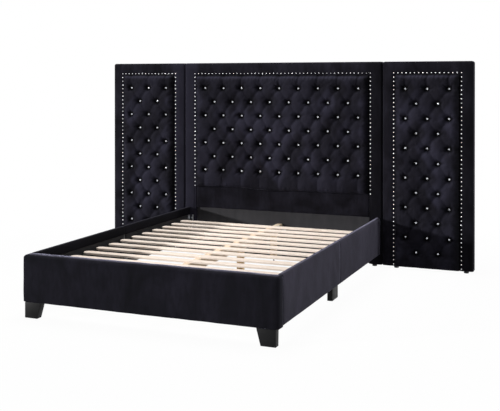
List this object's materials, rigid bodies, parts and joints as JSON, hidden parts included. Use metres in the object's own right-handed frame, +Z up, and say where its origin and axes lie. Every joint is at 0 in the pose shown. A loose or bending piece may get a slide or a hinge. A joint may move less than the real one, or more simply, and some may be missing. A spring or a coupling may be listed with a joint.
{
  "type": "bed",
  "caption": "Upholstered platform bed with a wide headboard in three diamond-tufted panels, padded side rails, a low footboard, tapered legs and a slatted deck",
  "frame": {"origin": "on the floor, midway between the ends and the sides of the whole bed", "axes": "+X to the right and +Y to the head as seen from the foot end, +Z up"},
  "size_m": [2.996, 2.281, 1.551],
  "materials": {
    "black_velvet": "black velvet, soft sheen",
    "lining": "dark grey woven cloth",
    "dust_cloth": "thin black non-woven cloth",
    "crystal": "cut, mirror backed",
    "black_lacquer": "satin black lacquer",
    "slat_wood": "planed pale softwood, bare",
    "frame_wood": "sawn softwood, bare",
    "plywood": "bare plywood",
    "zinc_steel": "zinc plated",
    "black_plastic": "moulded"
  },
  "bodies": {
    "bed": {"beam_hangers": "zinc_steel", "centre_beam": "frame_wood", "centre_leg_foot": "frame_wood", "centre_leg_head": "frame_wood", "centre_leg_middle": "frame_wood", "corner_brackets": "zinc_steel", "footboard_cover": "black_velvet", "footboard_frame": "frame_wood", "frame_bolts": "zinc_steel", "headboard_board": "plywood", "headboard_border": "black_velvet", "headboard_buttons": "crystal", "headboard_dust_cover": "dust_cloth", "headboard_frame": "frame_wood", "headboard_lining": "lining", "headboard_lower_band": "black_velvet", "headboard_tufted_pad": "black_velvet", "left_front_leg": "black_lacquer", "left_middle_leg": "black_lacquer", "left_rail_board_foot": "frame_wood", "left_rail_board_head": "frame_wood", "left_rail_cover_foot": "black_velvet", "left_rail_cover_head": "black_velvet", "left_slat_ledger": "black_lacquer", "left_wing_board": "plywood", "left_wing_border": "black_velvet", "left_wing_buttons": "crystal", "left_wing_dust_cover": "dust_cloth", "left_wing_frame": "frame_wood", "left_wing_tufted_pad": "black_velvet", "panel_glides": "black_plastic", "right_front_leg": "black_lacquer", "right_middle_leg": "black_lacquer", "right_rail_board_foot": "frame_wood", "right_rail_board_head": "frame_wood", "right_rail_cover_foot": "black_velvet", "right_rail_cover_head": "black_velvet", "right_slat_ledger": "black_lacquer", "right_wing_board": "plywood", "right_wing_border": "black_velvet", "right_wing_buttons": "crystal", "right_wing_dust_cover": "dust_cloth", "right_wing_frame": "frame_wood", "right_wing_tufted_pad": "black_velvet", "slat_01": "slat_wood", "slat_02": "slat_wood", "slat_03": "slat_wood", "slat_04": "slat_wood", "slat_05": "slat_wood", "slat_06": "slat_wood", "slat_07": "slat_wood", "slat_08": "slat_wood", "slat_09": "slat_wood", "slat_10": "slat_wood", "slat_11": "slat_wood", "slat_12": "slat_wood", "wing_joining_plates": "zinc_steel"},
    "levelling_foot_foot": {"levelling_foot_foot": "black_plastic"},
    "levelling_foot_head": {"levelling_foot_head": "black_plastic"},
    "levelling_foot_middle": {"levelling_foot_middle": "black_plastic"}
  },
  "joints": [
    {"name": "levelling_foot_foot_screw", "type": "slide", "parent": "bed", "child": "levelling_foot_foot", "axis": [0, 0, 1], "range_m": [-0.008, 0.012]},
    {"name": "levelling_foot_head_screw", "type": "slide", "parent": "bed", "child": "levelling_foot_head", "axis": [0, 0, 1], "range_m": [-0.008, 0.012]},
    {"name": "levelling_foot_middle_screw", "type": "slide", "parent": "bed", "child": "levelling_foot_middle", "axis": [0, 0, 1], "range_m": [-0.008, 0.012]}
  ]
}
